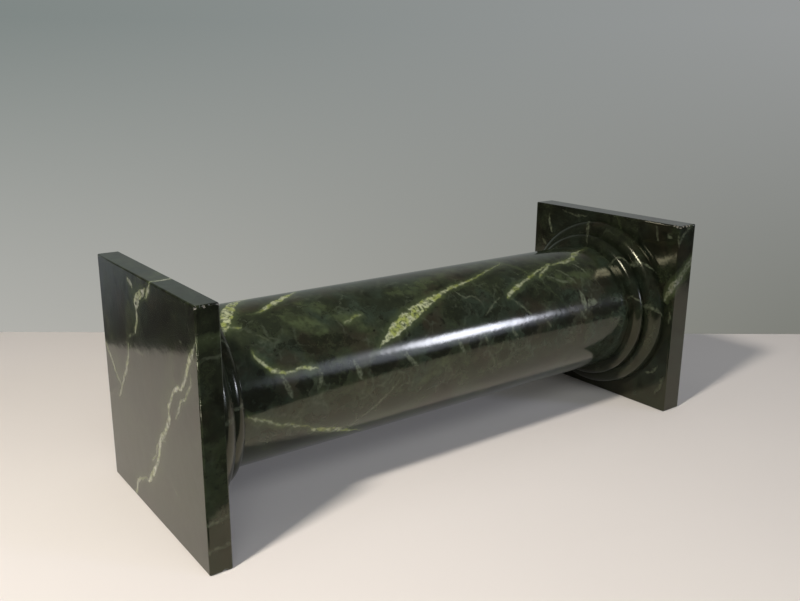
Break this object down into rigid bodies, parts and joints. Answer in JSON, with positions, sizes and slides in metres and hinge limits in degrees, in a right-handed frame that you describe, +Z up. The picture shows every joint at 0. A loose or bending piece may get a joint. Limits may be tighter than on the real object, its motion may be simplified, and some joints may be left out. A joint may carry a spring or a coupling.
{
  "type": "faux marble column",
  "caption": "Short round column with a square slab and a beaded moulding at either end, painted to look like dark green marble and varnished, lying on its side.",
  "frame": {"origin": "on the surface that the column lies on, under its axis and midway between its ends", "axes": "+X along the column from the abacus to the plinth, +Z up as the column lies"},
  "size_m": [0.5416, 0.2, 0.2],
  "materials": {
    "plinth": "painted as dark green veined marble under a gloss varnish, worn pale at one corner",
    "base_moulding": "painted as dark green veined marble under a gloss varnish",
    "shaft": "painted as dark green marble with yellow-green veins under a gloss varnish",
    "top_moulding": "painted as dark green veined marble under a gloss varnish",
    "abacus": "painted as dark green marble with pale veins under a gloss varnish, with small pale chips"
  },
  "bodies": {
    "root": {"plinth": "plinth", "base_moulding": "base_moulding", "shaft": "shaft", "top_moulding": "top_moulding", "abacus": "abacus"}
  },
  "joints": []
}
